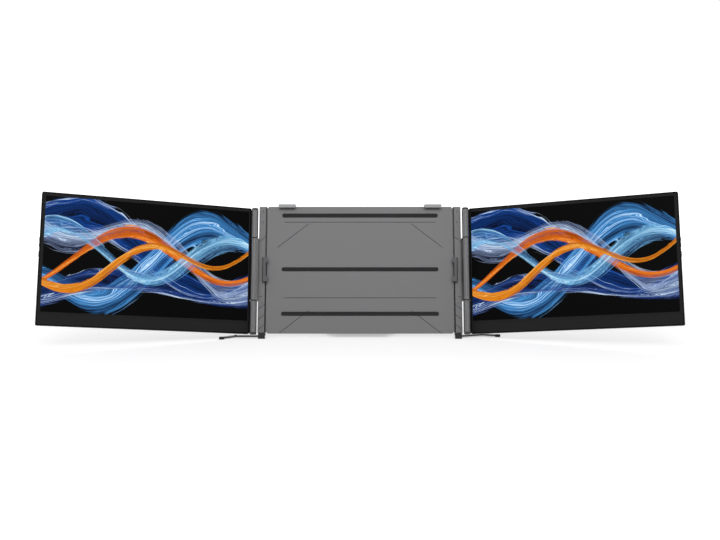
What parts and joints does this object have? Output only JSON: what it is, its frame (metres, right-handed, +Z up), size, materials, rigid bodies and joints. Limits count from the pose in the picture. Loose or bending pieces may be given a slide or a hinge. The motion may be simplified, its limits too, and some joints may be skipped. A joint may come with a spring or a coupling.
{
  "type": "laptop screen extender",
  "caption": "Lid-mounted frame with spring-loaded side arms, carrying a hinged flat display on each side, with fold-out desk legs and a rear kickstand.",
  "frame": {"origin": "on the desk, midway between the two arms, at the bottom of the lid bay", "axes": "+X to the right as seen from the front, +Y away from the viewer, +Z up from the desk; the frame leans back 17 degrees towards +Y"},
  "size_m": [1.0553, 0.2411, 0.2555],
  "materials": {
    "frame_metal": "gunmetal anodised, satin",
    "hinge_metal": "gunmetal die-casting, satin",
    "hinge_cap": "dark cap and shaft",
    "jaw_metal": "dark satin",
    "hook_grey": "light grey moulding",
    "nylon": "natural nylon",
    "pad_rubber": "matt black",
    "screw_black": "blackened",
    "spring_steel": "bright wire",
    "pin_steel": "ground",
    "plate_aluminium": "plain sheet",
    "foot_plastic": "black moulding",
    "leg_black": "black powder coat",
    "cover_metal": "gunmetal anodised, satin",
    "bezel_black": "near black",
    "chin_charcoal": "charcoal, fine texture",
    "screen_glass": "lit picture behind anti-glare glass",
    "board_green": "green circuit board",
    "socket_steel": "stamped shell",
    "button_black": "black"
  },
  "bodies": {
    "centre_frame": {"centre_front_plate": "frame_metal", "centre_back_cover": "frame_metal", "guide_rails": "nylon", "lid_pads": "pad_rubber", "centre_screws": "screw_black", "left_return_spring": "spring_steel", "right_return_spring": "spring_steel", "kickstand_pin": "pin_steel"},
    "left_arm": {"left_slide_plate": "plate_aluminium", "left_arm_front": "frame_metal", "left_arm_back": "frame_metal", "left_jaw": "jaw_metal", "left_jaw_pad": "pad_rubber", "left_hinge_block": "hinge_metal", "left_hinge_shaft": "hinge_cap", "left_arm_screws": "screw_black", "left_foot": "foot_plastic", "left_leg_pin": "pin_steel"},
    "left_display": {"left_back_cover": "cover_metal", "left_bezel": "bezel_black", "left_chin": "chin_charcoal", "left_panel": "screen_glass", "left_board": "board_green", "left_sockets": "socket_steel", "left_upper_knuckle": "hinge_metal", "left_lower_knuckle": "hinge_metal", "left_cover_screws": "screw_black"},
    "left_leg": {"left_leg": "leg_black", "left_leg_tip": "pad_rubber"},
    "left_hook": {"left_top_hook": "hook_grey"},
    "left_power": {"left_power_button": "button_black"},
    "left_rocker_key": {"left_rocker": "button_black"},
    "right_arm": {"right_slide_plate": "plate_aluminium", "right_arm_front": "frame_metal", "right_arm_back": "frame_metal", "right_jaw": "jaw_metal", "right_jaw_pad": "pad_rubber", "right_hinge_block": "hinge_metal", "right_hinge_shaft": "hinge_cap", "right_arm_screws": "screw_black", "right_foot": "foot_plastic", "right_leg_pin": "pin_steel"},
    "right_display": {"right_back_cover": "cover_metal", "right_bezel": "bezel_black", "right_chin": "chin_charcoal", "right_panel": "screen_glass", "right_board": "board_green", "right_sockets": "socket_steel", "right_upper_knuckle": "hinge_metal", "right_lower_knuckle": "hinge_metal", "right_cover_screws": "screw_black"},
    "right_leg": {"right_leg": "leg_black", "right_leg_tip": "pad_rubber"},
    "right_hook": {"right_top_hook": "hook_grey"},
    "right_power": {"right_power_button": "button_black"},
    "right_rocker_key": {"right_rocker": "button_black"},
    "kickstand": {"kickstand": "frame_metal", "kickstand_tip": "pad_rubber"}
  },
  "joints": [
    {"name": "left_arm_slide", "type": "slide", "parent": "centre_frame", "child": "left_arm", "axis": [-1, 0, 0], "range_m": [0, 0.036], "stiffness_N_per_m": 150, "springref_m": -0.05, "deforming": ["left_return_spring"]},
    {"name": "left_display_hinge", "type": "hinge", "parent": "left_arm", "child": "left_display", "pos_m": [-0.1848, 0.02847, 0.11364], "axis": [0, 0.2924, 0.9563], "range_deg": [-20.2, 159.8]},
    {"name": "left_leg_swing", "type": "hinge", "parent": "left_arm", "child": "left_leg", "pos_m": [-0.1718, 0.005, 0.002], "axis": [0, 0, -1], "range_deg": [-20, 150]},
    {"name": "left_hook_slide", "type": "slide", "parent": "centre_frame", "child": "left_hook", "axis": [0, 0.2924, 0.9563], "range_m": [0, 0.025]},
    {"name": "left_power_press", "type": "slide", "parent": "left_display", "child": "left_power", "axis": [0.9385, 0.3302, -0.101], "range_m": [0, 0.00035], "stiffness_N_per_m": 600, "springref_m": -0.002},
    {"name": "left_rocker_tilt", "type": "hinge", "parent": "left_display", "child": "left_rocker_key", "pos_m": [-0.52457, -0.07295, 0.17341], "axis": [-0.3453, 0.8975, -0.2744], "range_deg": [-1.5, 1.5], "stiffness_Nm_per_rad": 0.05},
    {"name": "right_arm_slide", "type": "slide", "parent": "centre_frame", "child": "right_arm", "axis": [1, 0, 0], "range_m": [0, 0.036], "stiffness_N_per_m": 150, "springref_m": -0.05, "deforming": ["right_return_spring"]},
    {"name": "right_display_hinge", "type": "hinge", "parent": "right_arm", "child": "right_display", "pos_m": [0.1848, 0.02369, 0.1151], "axis": [0, -0.2924, -0.9563], "range_deg": [-20.2, 159.8]},
    {"name": "right_leg_swing", "type": "hinge", "parent": "right_arm", "child": "right_leg", "pos_m": [0.1718, 0.005, 0.002], "axis": [0, 0, 1], "range_deg": [-35, 130]},
    {"name": "right_hook_slide", "type": "slide", "parent": "centre_frame", "child": "right_hook", "axis": [0, 0.2924, 0.9563], "range_m": [0, 0.025]},
    {"name": "right_power_press", "type": "slide", "parent": "right_display", "child": "right_power", "axis": [-0.9385, 0.3302, -0.101], "range_m": [0, 0.00035], "stiffness_N_per_m": 600, "springref_m": -0.002},
    {"name": "right_rocker_tilt", "type": "hinge", "parent": "right_display", "child": "right_rocker_key", "pos_m": [0.52489, -0.07275, 0.17334], "axis": [0.3453, 0.8975, -0.2744], "range_deg": [-1.5, 1.5], "stiffness_Nm_per_rad": 0.05},
    {"name": "kickstand_fold", "type": "hinge", "parent": "centre_frame", "child": "kickstand", "pos_m": [0, 0.01546, 0.00782], "axis": [1, 0, 0], "range_deg": [0, 75.9]}
  ]
}
